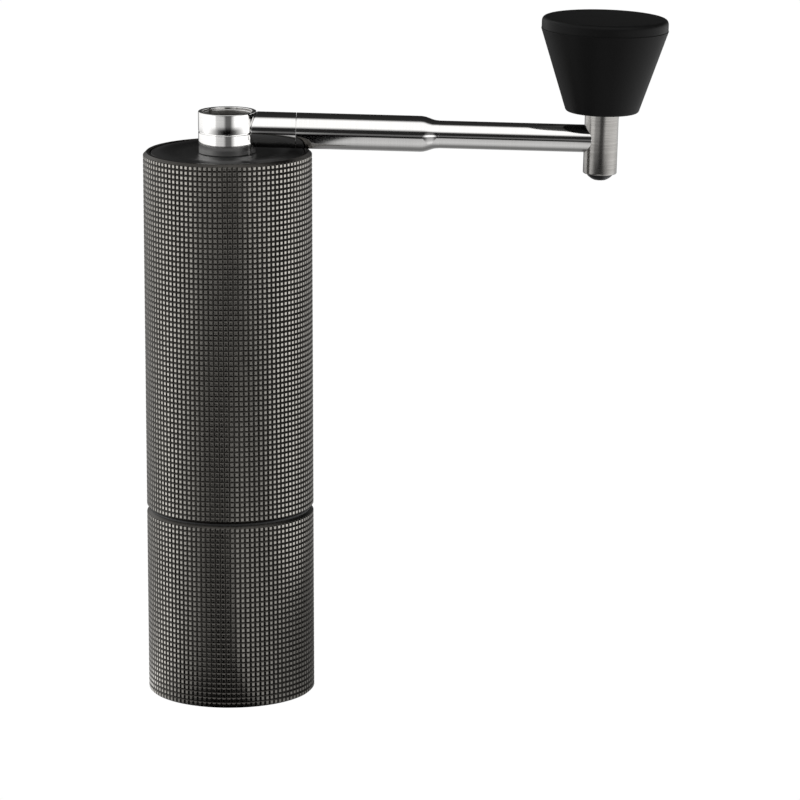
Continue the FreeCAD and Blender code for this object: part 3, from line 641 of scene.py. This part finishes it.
class GRINDER_OT_crank(Operator):
    """Make the hub, the three parts of the arm, the post and its bolt"""

    bl_idname = "grinder.make_crank"
    bl_label = "Crank"

    def execute(self, context):
        scene = context.scene
        sizes = scene.grinder_crank
        hub_steel = polished_steel("polished_stainless_hub", (0, 0, 1), (0, 0, 0), scene)
        arm_steel = polished_steel("polished_stainless_arm", ARM_AXIS, ARM_ORIGIN, scene)

        # Hub: a neck with a hexagonal socket, a ring groove and a shallow cup on top.
        neck_bottom = lowest("crank_hub")
        bottom = neck_bottom + NECK_LENGTH
        top = highest("crank_hub")
        radius = farthest("crank_hub")
        neck = 5.5
        socket = 3.5
        socket_top = highest("drive_shaft") + 0.6
        clip_bottom = lowest("hub_circlip")
        clip_top = highest("hub_circlip")
        ring_top = top - 6.0
        ring_bottom = ring_top - 0.5
        recess = radius - 1.2
        recess_floor = top - sizes.recess_depth / MM
        outline = softened(
            [
                (0, socket_top, 0), (socket, socket_top, 0), (socket, neck_bottom, 0),
                (neck, neck_bottom, 0.3), (neck, clip_bottom, 0.05),
                (neck - 0.4, clip_bottom, 0.05), (neck - 0.4, clip_top, 0.05),
                (neck, clip_top, 0.05), (neck, bottom, 0.1), (radius, bottom, 0.25),
                (radius, ring_bottom, 0.08), (radius - 0.3, ring_bottom, 0.05),
                (radius - 0.3, ring_top, 0.05), (radius, ring_top, 0.08), (radius, top, 0.25),
                (recess, top, 0.25), (recess, recess_floor, 0.2), (0, recess_floor, 0),
            ],
            4,
        )
        hub = turned(outline, 192, six_sided=socket)
        put_piece("hub", hub, hub_steel, "crank", "polished_steel", "crank_hub")

        # A disc with a dull, blasted face lies in the shallow cup. Its colour, darker than the steel's, is
        # painted shade in the hub's recess.
        disc = recess - 0.35
        disc_top = recess_floor + 0.12
        disc_bottom = recess_floor - 0.2
        outline = softened(
            [(0, disc_bottom, 0), (disc, disc_bottom, 0), (disc, disc_top, 0.1), (0, disc_top, 0)]
        )
        blasted = finish("bead_blasted_stainless_painted_shade", ("#77756f", "#625f5a"), 1.0, 0.42, 0.05, 0.3, 0.004)
        put_piece("hub_disc", turned(outline, 128), blasted, "crank", "brushed_steel")

        # Collar: its inner end is a saddle on the hub. A point slides along the arm by the
        # hub's surface at its place, times what is left of the way to the far end.
        arm = sizes.arm_radius / MM
        rod = sizes.rod_radius / MM
        bore = rod + FIT
        collar_end = 21.05
        seam_edge = 0.06
        outline = softened(
            [
                (bore, 0, 0), (arm - 0.25, 0, 0), (arm, 0.6, 0.25), (arm, collar_end, seam_edge),
                (bore, collar_end, 0),
            ]
        )
        points, triangles = turned(outline, 128)
        reach = np.sqrt(radius**2 - points[:, 0] ** 2) + FIT
        saddle = (reach - points[:, 1] * KNOB_AXIS[0]) / KNOB_AXIS[2]
        points[:, 2] += saddle * (1 - points[:, 2] / collar_end)
        collar = (points, triangles)
        put_piece("collar", collar, arm_steel, "crank", "polished_steel", "arm_collar", place=along_arm)

        sleeve_start = collar_end + 0.12
        taper_start = 60.4
        sleeve_end = 64.4
        lip_end = sleeve_end + 0.5
        outline = softened(
            [
                (bore, sleeve_start, 0), (arm, sleeve_start, seam_edge), (arm, taper_start, 1.3),
                (rod + 0.06, sleeve_end - 0.6, 1.0), (rod + 0.05, lip_end, 0.02),
                (bore, lip_end, 0),
            ]
        )
        sleeve = turned(outline, 128)
        put_piece("sleeve", sleeve, arm_steel, "crank", "polished_steel", "arm_sleeve", place=along_arm)

        post = sizes.post_radius / MM
        rod_end = CRANK_REACH - post + 2.2
        rod_start = radius + 0.3
        outline = softened([(0, rod_start, 0), (rod, rod_start, 0.2), (rod, rod_end, 0.2), (0, rod_end, 0)])
        core = turned(outline, 96)
        put_piece("rod", core, arm_steel, "crank", "polished_steel", "arm_rod", place=along_arm)

        post_foot = -10.7
        post_top = 10.8
        bolt = 2.5
        post_bore = bolt + FIT
        outline = softened(
            [
                (post_bore, post_foot, 0.1), (post, post_foot, 0.5), (post, post_top, 0.3),
                (post_bore, post_top, 0.1),
            ]
        )
        post_steel = brushed_steel("brushed_stainless_post", KNOB_AXIS, KNOB_ORIGIN)
        tube = turned(outline, 96)
        put_piece("post", tube, post_steel, "crank", "brushed_steel", "knob_post", place=on_knob_axis)

        # Bolt: a dome head below the post, with a hexagonal socket for the key.
        head = 4.25
        head_height = 2.3
        key = 1.5
        dome = (head**2 + head_height**2) / (2 * head_height)
        centre = post_foot - head_height + dome
        bolt_end = 31.65
        bow = np.linspace(key * 1.25, head, 12)
        dome_outline = np.stack([bow, centre - np.sqrt(dome**2 - bow**2)], -1)
        dome_outline[-1, 1] = post_foot
        key_floor = post_foot - head_height + 1.4
        outline = np.concatenate(
            [
                [[0, key_floor], [key, key_floor], [key, dome_outline[0, 1]]],
                dome_outline,
                [[bolt, post_foot], [bolt, bolt_end], [0, bolt_end]],
            ]
        )
        screw = turned(outline, 96, six_sided=key)
        # Black oxide on steel: nearly black, oily and fairly smooth.
        oxide = finish("black_oxide_steel", ("#2b2b2c", "#1b1b1c"), 0.8, 0.3, 0.05, 0.3, 0.003)
        put_piece("bolt", screw, oxide, "crank", "black_bolt_steel", "knob_bolt", place=on_knob_axis)
        return {"FINISHED"}


class GRINDER_OT_knob(Operator):
    """Make the tapered knob and its cap"""

    bl_idname = "grinder.make_knob"
    bl_label = "Knob"

    def execute(self, context):
        sizes = context.scene.grinder_knob
        bottom = 8.5
        cone_top = bottom + 25.5
        bottom_radius = sizes.bottom_radius / MM
        top_radius = sizes.top_radius / MM
        wall = 2.0

        def cone_radius(level):
            """Outer radius of the cone, which grows evenly from its foot to its top."""
            return bottom_radius + (top_radius - bottom_radius) * (level - bottom) / (cone_top - bottom)

        floor = bottom + 5.2
        floor_radius = cone_radius(floor) - wall
        counterbore = 5.5
        bush_bottom = bottom + 2.6
        bush_seat = 4.58
        boss = bush_seat + 2.4
        boss_top = bottom + 18.0
        outline = softened(
            [
                (counterbore, bottom, 0.4), (bottom_radius, bottom, 0.8),
                (top_radius, cone_top, 0.22), (top_radius - wall, cone_top, 0),
                (floor_radius, floor, 0.5), (boss, floor, 0.5), (boss, boss_top, 0),
                (bush_seat, boss_top, 0), (bush_seat, bush_bottom, 0),
                (counterbore, bush_bottom, 0),
            ]
        )
        plastic = moulded_black("moulded_black_abs_knob", sizes.colour, 0.38, 0.06)
        cone = turned(outline, 192)
        put_piece("knob", cone, plastic, "knob", "black_plastic", "knob_body", place=on_knob_axis)

        cap_radius = top_radius - 0.15
        cap_top = cone_top + 3.5
        hollow_top = cap_top - 2.2
        plug_bottom = cone_top - 2.4
        plug = cone_radius(plug_bottom) - wall - FIT
        plug_bore = plug - 1.6
        outline = softened(
            [
                (0, hollow_top, 0), (plug_bore, hollow_top, 0.3), (plug_bore, plug_bottom, 0),
                (plug, plug_bottom, 0.2), (plug, cone_top, 0), (cap_radius, cone_top, 0.22),
                (cap_radius, cap_top, sizes.edge_round / MM), (0, cap_top, 0),
            ],
            9,
        )
        cap = turned(outline, 192)
        put_piece("cap", cap, plastic, "knob", "black_plastic", "knob_cap", place=on_knob_axis)
        return {"FINISHED"}


class GRINDER_OT_works(Operator):
    """Make the toothed burrs, their spring and the thread under the barrel"""

    bl_idname = "grinder.make_works"
    bl_label = "Burrs, spring and thread"

    def execute(self, context):
        sizes = context.scene.grinder_works
        steel = burr_steel()
        segments = 336
        angle = np.arange(segments) / segments
        depth = sizes.tooth_depth / MM
        steps = 28
        share = np.linspace(0, 1, steps)[:, None]

        def teeth(count, twist):
            """Leaning saw teeth: a slow rise over three quarters of a tooth, then a quick fall."""
            place = np.mod(count * angle + twist * share, 1)
            return np.where(place < 0.75, place / 0.75, (1 - place) / 0.25)

        # Teeth: coarse ones fade in towards the top and fine ones towards the foot.
        fine_depth = 0.45
        coarse = teeth(sizes.coarse_teeth, 1.6)
        fine = teeth(sizes.fine_teeth, 3.0)
        bite = depth * coarse * share**0.7 + fine_depth * fine * (1 - share)

        bottom = lowest("inner_burr")
        top = highest("inner_burr")
        seat = lowest("outer_burr")
        radius = farthest("inner_burr")
        crest = 8.0
        hex_bore = 3.5
        way = share[:, 0]
        cone = np.stack([radius + (crest - radius) * way, seat + (top - seat) * way], -1)
        outline = np.concatenate([[[hex_bore, bottom], [radius, bottom]], cone, [[hex_bore, top]]])
        cut = np.zeros((len(outline), segments))
        cut[2 : 2 + steps] = bite
        cut[1] = bite[0]
        surface = turned(outline, segments, cut, six_sided=hex_bore)
        put_piece("burr_cone", surface, steel, "burr", "burr_steel", "inner_burr", sharp=22)

        ring_top = highest("outer_burr")
        ring = farthest("outer_burr")
        mouth = ring - 2.2
        throat = 12.6
        cone = np.stack([throat + (mouth - throat) * way, ring_top + (seat - ring_top) * way], -1)
        outline = np.concatenate([[[ring, seat], [ring, ring_top]], cone])
        cut = np.zeros((len(outline), segments))
        ring_depth = 1.2
        coarse = teeth(sizes.coarse_teeth + 3, -1.2)
        fine = teeth(sizes.fine_teeth, -2.0)
        cut[2:] = -(ring_depth * coarse * (1 - share) ** 0.7 + fine_depth * fine * share)
        surface = turned(outline, segments, cut)
        put_piece("burr_ring", surface, steel, "barrel", "burr_steel", "outer_burr", sharp=22)

        # Spring steel wire: drawn, smooth and bright.
        wire_steel = finish("drawn_spring_steel", ("#c4c1bb", "#9d9a95"), 1.0, 0.22, 0.05, 0.25, 0.002)
        wire = 0.42
        outer = farthest("burr_spring")
        low = lowest("burr_spring")
        high = highest("burr_spring")
        turns = sizes.spring_turns
        coil = swept_helix(outer - wire, low + wire, high - wire, turns, wire, wire, int(turns * 44))
        spring = put_piece("spring", coil, wire_steel, None, "spring_steel", "burr_spring", sharp=60)
        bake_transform(spring)

        collar_low = lowest("burr_carrier")
        collar_high = lowest("barrel_shell")
        pitch = sizes.thread_pitch / MM
        start = collar_low + 1.0
        end = collar_high - 1.4
        turns = (end - start) / pitch
        thread_radius = 23.62
        ridge = swept_helix(thread_radius, start, end, turns, 0.3, 0.5, int(turns * 120))
        nylon = glass_filled_nylon()
        put_piece("collar_thread", ridge, nylon, "barrel", "frame_plastic", sharp=60)
        return {"FINISHED"}


class GRINDER_OT_frame_finish(Operator):
    """Give every piece kept from the frame the finish of its real material"""

    bl_idname = "grinder.finish_frame"
    bl_label = "Finish of the inner parts"

    def execute(self, context):
        axis = (0, 0, 1)
        # Bearing steel: ground and polished, with faint rings from the grinding wheel.
        bearing = finish("ground_bearing_steel", ("#d4d3d1", "#b5b4b2"), 1.0, 0.14, 0.04, 0.2, 0.001, axis)
        # Hardened spring steel clips, blackened and oiled.
        clip = finish("oiled_spring_steel", ("#5b5955", "#474541"), 1.0, 0.3, 0.06, 0.3, 0.003)
        # Turned stainless steel of the shaft and the washers.
        shaft = finish("turned_stainless_shaft", ("#cfcdc9", "#adaba7"), 1.0, 0.2, 0.05, 0.3, 0.003, axis)
        # Acetal: ivory, waxy and smooth.
        acetal = finish("turned_acetal", ("#e2ddcf", "#d2ccbc"), 0.0, 0.35, 0.05, 0.4, 0.004)
        # Silicone rubber: black and matt, with a bloom that greys it slightly.
        silicone = finish("black_silicone_rubber", ("#1f1f1f", "#2b2b2b"), 0.0, 0.62, 0.08, 0.35, 0.008)
        # Clear anodised aluminium: silvery and dull, with cutter rings on its turned face.
        dial = finish("turned_clear_aluminium", ("#c9c9c8", "#adadac"), 1.0, 0.28, 0.06, 0.35, 0.005, axis)
        wanted = (
            (glass_filled_nylon(), ("hopper_liner", "upper_spider", "burr_carrier")),
            (burr_steel(), ("detent_plate",)),
            (dial, ("adjusting_dial",)),
            (acetal, ("knob_bush",)),
            (silicone, ("lid_seal", "cup_seal")),
            (shaft, ("drive_shaft", "burr_screws", "spring_washer", "hub_washer")),
            (shaft, ("knob_washer", "knob_nut")),
            (clip, ("upper_bearing_cage", "lower_bearing_cage", "shaft_circlips")),
            (clip, ("detent_springs", "hub_circlip")),
            (bearing, ("upper_bearing_outer", "upper_bearing_inner", "upper_bearing_balls")),
            (bearing, ("lower_bearing_outer", "lower_bearing_inner", "lower_bearing_balls")),
            (bearing, ("detent_balls",)),
        )
        for material, nodes in wanted:
            for node in nodes:
                materials = frame["nodes"][node].data.materials
                materials.clear()
                materials.append(material)
        return {"FINISHED"}


# ---------------------------------------------------------------- stage

# Brightness of the floor beyond arm's reach, as the hub and the post mirror it, by direction in
# degrees. Zero is the camera's side and positive is to its right.
FAR_FLOOR = (
    (-180, 0.15), (-158, 0.2), (-142, 1.2), (-60, 1.6), (-48, 1.6), (-42, 0.85), (-13, 0.7),
    (-3, 0.15), (15, 0.15), (33, 1.5), (110, 1.6), (136, 1.2), (156, 0.2), (180, 0.15),
)

# Brightness along the arch from the camera's side, over the top, to the back.
OVERHEAD_LIGHT = ((0, 0.0), (20, 0.0), (34, 1.35), (82, 1.35), (98, 0.03), (150, 0.02), (180, 0.03))

# Brightness of the cloth at the sides above the floor.
SIDE_CLOTH = (
    (-180, 0.03), (-162, 0.15), (-145, 1.1), (-100, 1.3), (-70, 0.8), (-40, 0.15), (-20, 0.02),
    (20, 0.02), (40, 0.3), (70, 1.3), (100, 1.6), (140, 0.7), (162, 0.12), (180, 0.03),
)

# Brightness of the floor round the object within arm's reach, as the barrel mirrors it.
NEAR_FLOOR = (
    (-180, 0.03), (-150, 0.4), (-118, 0.9), (-92, 1.8), (-70, 1.15), (-50, 0.6), (-32, 0.12),
    (-14, 0.0), (14, 0.0), (32, 0.12), (52, 0.65), (72, 1.35), (95, 1.7), (120, 0.9),
    (150, 0.45), (180, 0.03),
)

# Brightness of the card under the arm, by millimetres towards the camera's side.
CARD_LIGHT = (
    (-300, 0.4), (-230, 0.37), (-60, 0.18), (0, 0.28), (40, 0.55), (100, 0.72), (200, 0.65),
    (300, 0.6),
)


def fill_ramp(node, stops, low, high):
    """Sets a ramp's grey stops from (place, brightness) between two ends."""
    ramp = node.color_ramp
    first, last = stops[0], stops[-1]
    ramp.elements[0].position = (first[0] - low) / (high - low)
    ramp.elements[0].color = (first[1], first[1], first[1], 1)
    ramp.elements[1].position = (last[0] - low) / (high - low)
    ramp.elements[1].color = (last[1], last[1], last[1], 1)
    for place, brightness in stops[1:-1]:
        stop = ramp.elements.new((place - low) / (high - low))
        stop.color = (brightness, brightness, brightness, 1)


def direction_round(tree, place):
    """Direction round the object as a share of a turn, 0.5 on the camera's side."""
    parts = add_node(tree, "SeparateXYZ", links={"Vector": place})
    toward = add_node(tree, "Math", {"operation": "MULTIPLY", 1: -1.0}, {0: (parts, "Y")})
    across = {0: (parts, "X"), 1: (toward, "Value")}
    angle = add_node(tree, "Math", {"operation": "ARCTAN2"}, across)
    to_share = {"operation": "MULTIPLY_ADD", 1: 1 / TURN, 2: 0.5}
    share = add_node(tree, "Math", to_share, {0: (angle, "Value")})
    return parts, toward, share


def light_studio(scene):
    """Studio round the object: cloth at the sides and a bright roof above and in front of it."""
    world = bpy.data.worlds.new("studio")
    world.use_nodes = True
    tree = world.node_tree
    tree.nodes.clear()
    place = add_node(tree, "TexCoord")
    parts, toward, share = direction_round(tree, (place, "Generated"))
    sides = add_node(tree, "ValToRGB", links={"Fac": (share, "Value")})
    fill_ramp(sides, SIDE_CLOTH, -180, 180)
    upward = {0: (parts, "Z"), 1: (toward, "Value")}
    over = add_node(tree, "Math", {"operation": "ARCTAN2"}, upward)
    half_turn = {"operation": "MULTIPLY", 1: 1 / pi}
    over_share = add_node(tree, "Math", half_turn, {0: (over, "Value")})
    arch = add_node(tree, "ValToRGB", links={"Fac": (over_share, "Value")})
    fill_ramp(arch, OVERHEAD_LIGHT, 0, 180)
    # The cloth hangs higher on the left than on the right, and ends in a soft edge.
    fall = {"From Min": -0.3, "From Max": 0.3, "To Min": 0.8, "To Max": 0.2}
    top = add_node(tree, "MapRange", fall, {"Value": (parts, "X")})
    height = {0: (parts, "Z"), 1: (top, "Result")}
    above_top = add_node(tree, "Math", {"operation": "SUBTRACT"}, height)
    soft_edge = {"From Min": -0.1, "From Max": 0.1, "To Min": 1.0, "To Max": 0.0}
    low_enough = add_node(tree, "MapRange", soft_edge, {"Value": (above_top, "Value")})
    # The roof stops on the right, beyond what the arm's taper mirrors.
    roof_edge = {"From Min": 0.66, "From Max": 0.84, "To Min": 1.0, "To Max": 0.0}
    over_arm = add_node(tree, "MapRange", roof_edge, {"Value": (parts, "X")})
    lit_roof = {0: (arch, "Color"), 1: (over_arm, "Result")}
    roof = add_node(tree, "Math", {"operation": "MULTIPLY"}, lit_roof)
    lit_cloth = {0: (sides, "Color"), 1: (low_enough, "Result")}
    wall = add_node(tree, "Math", {"operation": "MULTIPLY"}, lit_cloth)
    either = {0: (wall, "Value"), 1: (roof, "Value")}
    brightness = add_node(tree, "Math", {"operation": "MAXIMUM"}, either)
    white = {"Color": linear("#ffffff")}
    background = add_node(tree, "Background", white, {"Strength": (brightness, "Value")})
    add_node(tree, "OutputWorld", links={"Surface": (background, "Background")})
    scene.world = world


def white_floor_painted_light():
    """White floor that glows instead of being lit: even white to the camera, and painted light, brighter at
    the sides than in front, in what the object mirrors of it.
    """
    material = new_material("white_floor_painted_light")
    tree = material.node_tree
    place = add_node(tree, "TexCoord")
    parts, toward, share = direction_round(tree, (place, "Object"))
    far = add_node(tree, "ValToRGB", links={"Fac": (share, "Value")})
    fill_ramp(far, FAR_FLOOR, -180, 180)
    near = add_node(tree, "ValToRGB", links={"Fac": (share, "Value")})
    fill_ramp(near, NEAR_FLOOR, -180, 180)
    # A narrow card of painted light lies in the floor's glow under the arm, whose lower half mirrors it. It
    # fades out at its inner edge, and then at its outer and its front edge.
    fade = {"From Min": 0.01, "From Max": 0.018}
    edge = add_node(tree, "MapRange", fade, {"Value": (parts, "X")})
    on_card = (edge, "Result")
    for source, outside, inside in (((parts, "X"), 0.18, 0.15), ((toward, "Value"), 0.46, 0.34)):
        fade = {"From Min": outside, "From Max": inside}
        edge = add_node(tree, "MapRange", fade, {"Value": source})
        within = {0: on_card, 1: (edge, "Result")}
        on_card = (add_node(tree, "Math", {"operation": "MULTIPLY"}, within), "Value")
    card_length = {"From Min": -0.3, "From Max": 0.3}
    along_card = add_node(tree, "MapRange", card_length, {"Value": (toward, "Value")})
    card = add_node(tree, "ValToRGB", links={"Fac": (along_card, "Result")})
    fill_ramp(card, CARD_LIGHT, -300, 300)
    number = {"data_type": "FLOAT"}
    sources = {"Factor": on_card, "A": (near, "Color"), "B": (card, "Color")}
    near_or_card = add_node(tree, "Mix", number, sources)
    reach = add_node(tree, "VectorMath", {"operation": "LENGTH"}, {0: (place, "Object")})
    arms_reach = {"From Min": 0.72, "From Max": 0.96}
    how_far = add_node(tree, "MapRange", arms_reach, {"Value": (reach, "Value")})
    sources = {"Factor": (how_far, "Result"), "A": (near_or_card, "Result"), "B": (far, "Color")}
    sides = add_node(tree, "Mix", number, sources)
    fibres = {"Scale": 1 / (0.8 * MM), "Detail": 3.0}
    fibre = add_node(tree, "TexNoise", fibres, {"Vector": (place, "Object")})
    tones = {"To Min": 1.0, "To Max": 1.02}
    tone = add_node(tree, "MapRange", tones, {"Value": (fibre, "Fac")})
    white = {"Color": (1, 1, 1, 1)}
    # Painted light: the floor glows, even white to the camera and by the ramps above in what the object
    # mirrors.
    seen = add_node(tree, "Emission", white, {"Strength": (tone, "Result")})
    mirrored = add_node(tree, "Emission", white, {"Strength": (sides, "Result")})
    ray = add_node(tree, "LightPath")
    shaders = {0: (ray, "Is Camera Ray"), 1: (mirrored, "Emission"), 2: (seen, "Emission")}
    mix = add_node(tree, "MixShader", links=shaders)
    add_node(tree, "OutputMaterial", links={"Surface": (mix, "Shader")})
    return material


class GRINDER_OT_stage(Operator):
    """Make the pale floor, the soft studio light and the camera"""

    bl_idname = "grinder.make_stage"
    bl_label = "Stage"

    def execute(self, context):
        scene = context.scene
        half = 8.0
        corners = [(-half, -half, 0), (half, -half, 0), (half, half, 0), (-half, half, 0)]
        mesh = bpy.data.meshes.new("floor")
        mesh.from_pydata(corners, [], [(0, 1, 2, 3)])
        mesh.materials.append(white_floor_painted_light())
        floor = bpy.data.objects.new("floor", mesh)
        # Just below the cup's foot, so that the two surfaces don't meet.
        floor.location.z = -0.2 * MM
        scene.collection.objects.link(floor)

        light_studio(scene)

        # A long lens, from 1.5 m away and a little above.
        camera_data = bpy.data.cameras.new("camera")
        camera_data.sensor_width = 36.0
        camera_data.lens = 210.67
        camera_data.dof.use_dof = False
        camera = bpy.data.objects.new("camera", camera_data)
        camera.location = (0.053007, -1.41996, 0.41289)
        look_down = 12.7317
        camera.rotation_euler = (radians(90 - look_down), 0, 0)
        scene.collection.objects.link(camera)
        scene.camera = camera
        scene.view_settings.view_transform = "Standard"
        return {"FINISHED"}


# ---------------------------------------------------------------- panel and registration


STEPS = (
    ("grinder.make_barrel", "grinder_body"),
    ("grinder.make_lid", "grinder_lid"),
    ("grinder.make_crank", "grinder_crank"),
    ("grinder.make_knob", "grinder_knob"),
    ("grinder.make_works", "grinder_works"),
    ("grinder.finish_frame", None),
    ("grinder.make_stage", None),
)


class GRINDER_PT_panel(Panel):
    """Sizes, colours and steps of the grinder"""

    bl_idname = "GRINDER_PT_panel"
    bl_label = "Coffee Grinder"
    bl_space_type = "VIEW_3D"
    bl_region_type = "UI"
    bl_category = "Grinder"

    def draw(self, context):
        for operator, group in STEPS:
            box = self.layout.box()
            box.operator(operator)
            if group is None:
                continue
            sizes = getattr(context.scene, group)
            for name in sizes.__annotations__:
                box.prop(sizes, name)


GROUPS = {
    "grinder_body": GRINDER_PG_body,
    "grinder_lid": GRINDER_PG_lid,
    "grinder_crank": GRINDER_PG_crank,
    "grinder_knob": GRINDER_PG_knob,
    "grinder_works": GRINDER_PG_works,
}

CLASSES = (
    *GROUPS.values(),
    GRINDER_OT_barrel,
    GRINDER_OT_lid,
    GRINDER_OT_crank,
    GRINDER_OT_knob,
    GRINDER_OT_works,
    GRINDER_OT_frame_finish,
    GRINDER_OT_stage,
    GRINDER_PT_panel,
)


def register():
    for kind in CLASSES:
        bpy.utils.register_class(kind)
    for name, kind in GROUPS.items():
        setattr(bpy.types.Scene, name, PointerProperty(type=kind))


def unregister():
    for name in GROUPS:
        delattr(bpy.types.Scene, name)
    for kind in reversed(CLASSES):
        bpy.utils.unregister_class(kind)


def main():
    register()
    bpy.ops.grinder.make_barrel()
    bpy.ops.grinder.make_lid()
    bpy.ops.grinder.make_crank()
    bpy.ops.grinder.make_knob()
    bpy.ops.grinder.make_works()
    bpy.ops.grinder.finish_frame()
    bpy.ops.grinder.make_stage()


if __name__ == "__main__":
    main()
